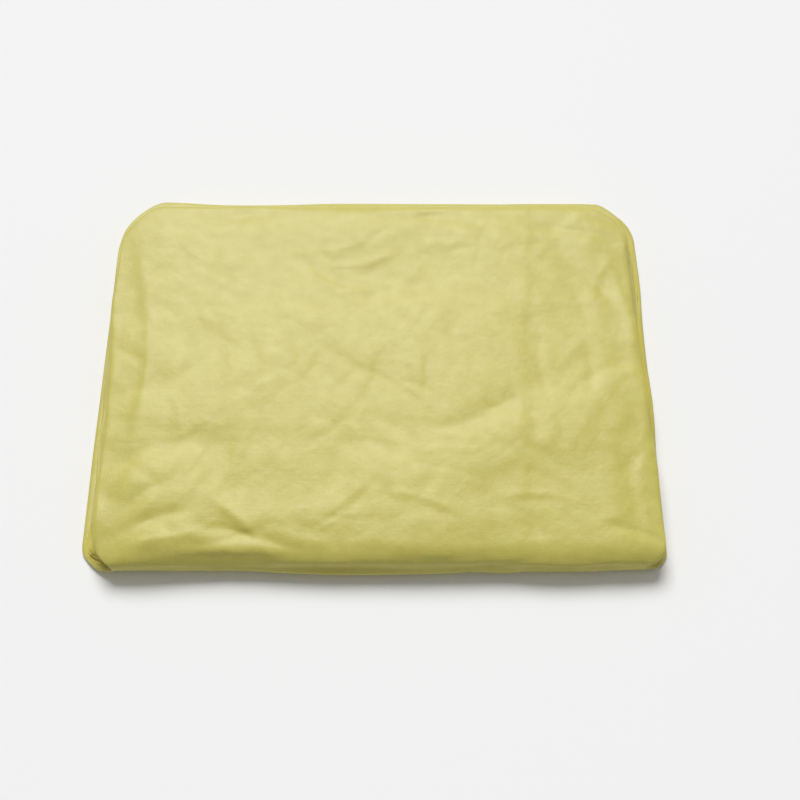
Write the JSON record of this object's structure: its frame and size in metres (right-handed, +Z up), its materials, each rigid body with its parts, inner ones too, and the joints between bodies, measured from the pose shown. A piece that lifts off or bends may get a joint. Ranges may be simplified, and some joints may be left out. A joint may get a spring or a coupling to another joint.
{
  "type": "folded isolation gown",
  "caption": "Disposable isolation gown of coated pale yellow nonwoven, folded flat for storage, with the front panel outside and soft rounded folds on every edge.",
  "frame": {"origin": "middle of the folded gown's footprint, on the surface it lies on", "axes": "+X along the longer side of the folded gown, to the right as seen from its thick near fold; +Y away from that fold, towards the two laid-in ends; +Z up, out of the top of the pile"},
  "size_m": [0.3927, 0.31, 0.0225],
  "materials": {
    "coated_nonwoven": "pale yellow point-bonded nonwoven under a thin clear polyethylene coat, soft satin sheen",
    "plain_nonwoven": "yellow point-bonded nonwoven, matt"
  },
  "bodies": {
    "root": {"front_panel": "coated_nonwoven", "hidden_layers": "plain_nonwoven"}
  },
  "joints": []
}
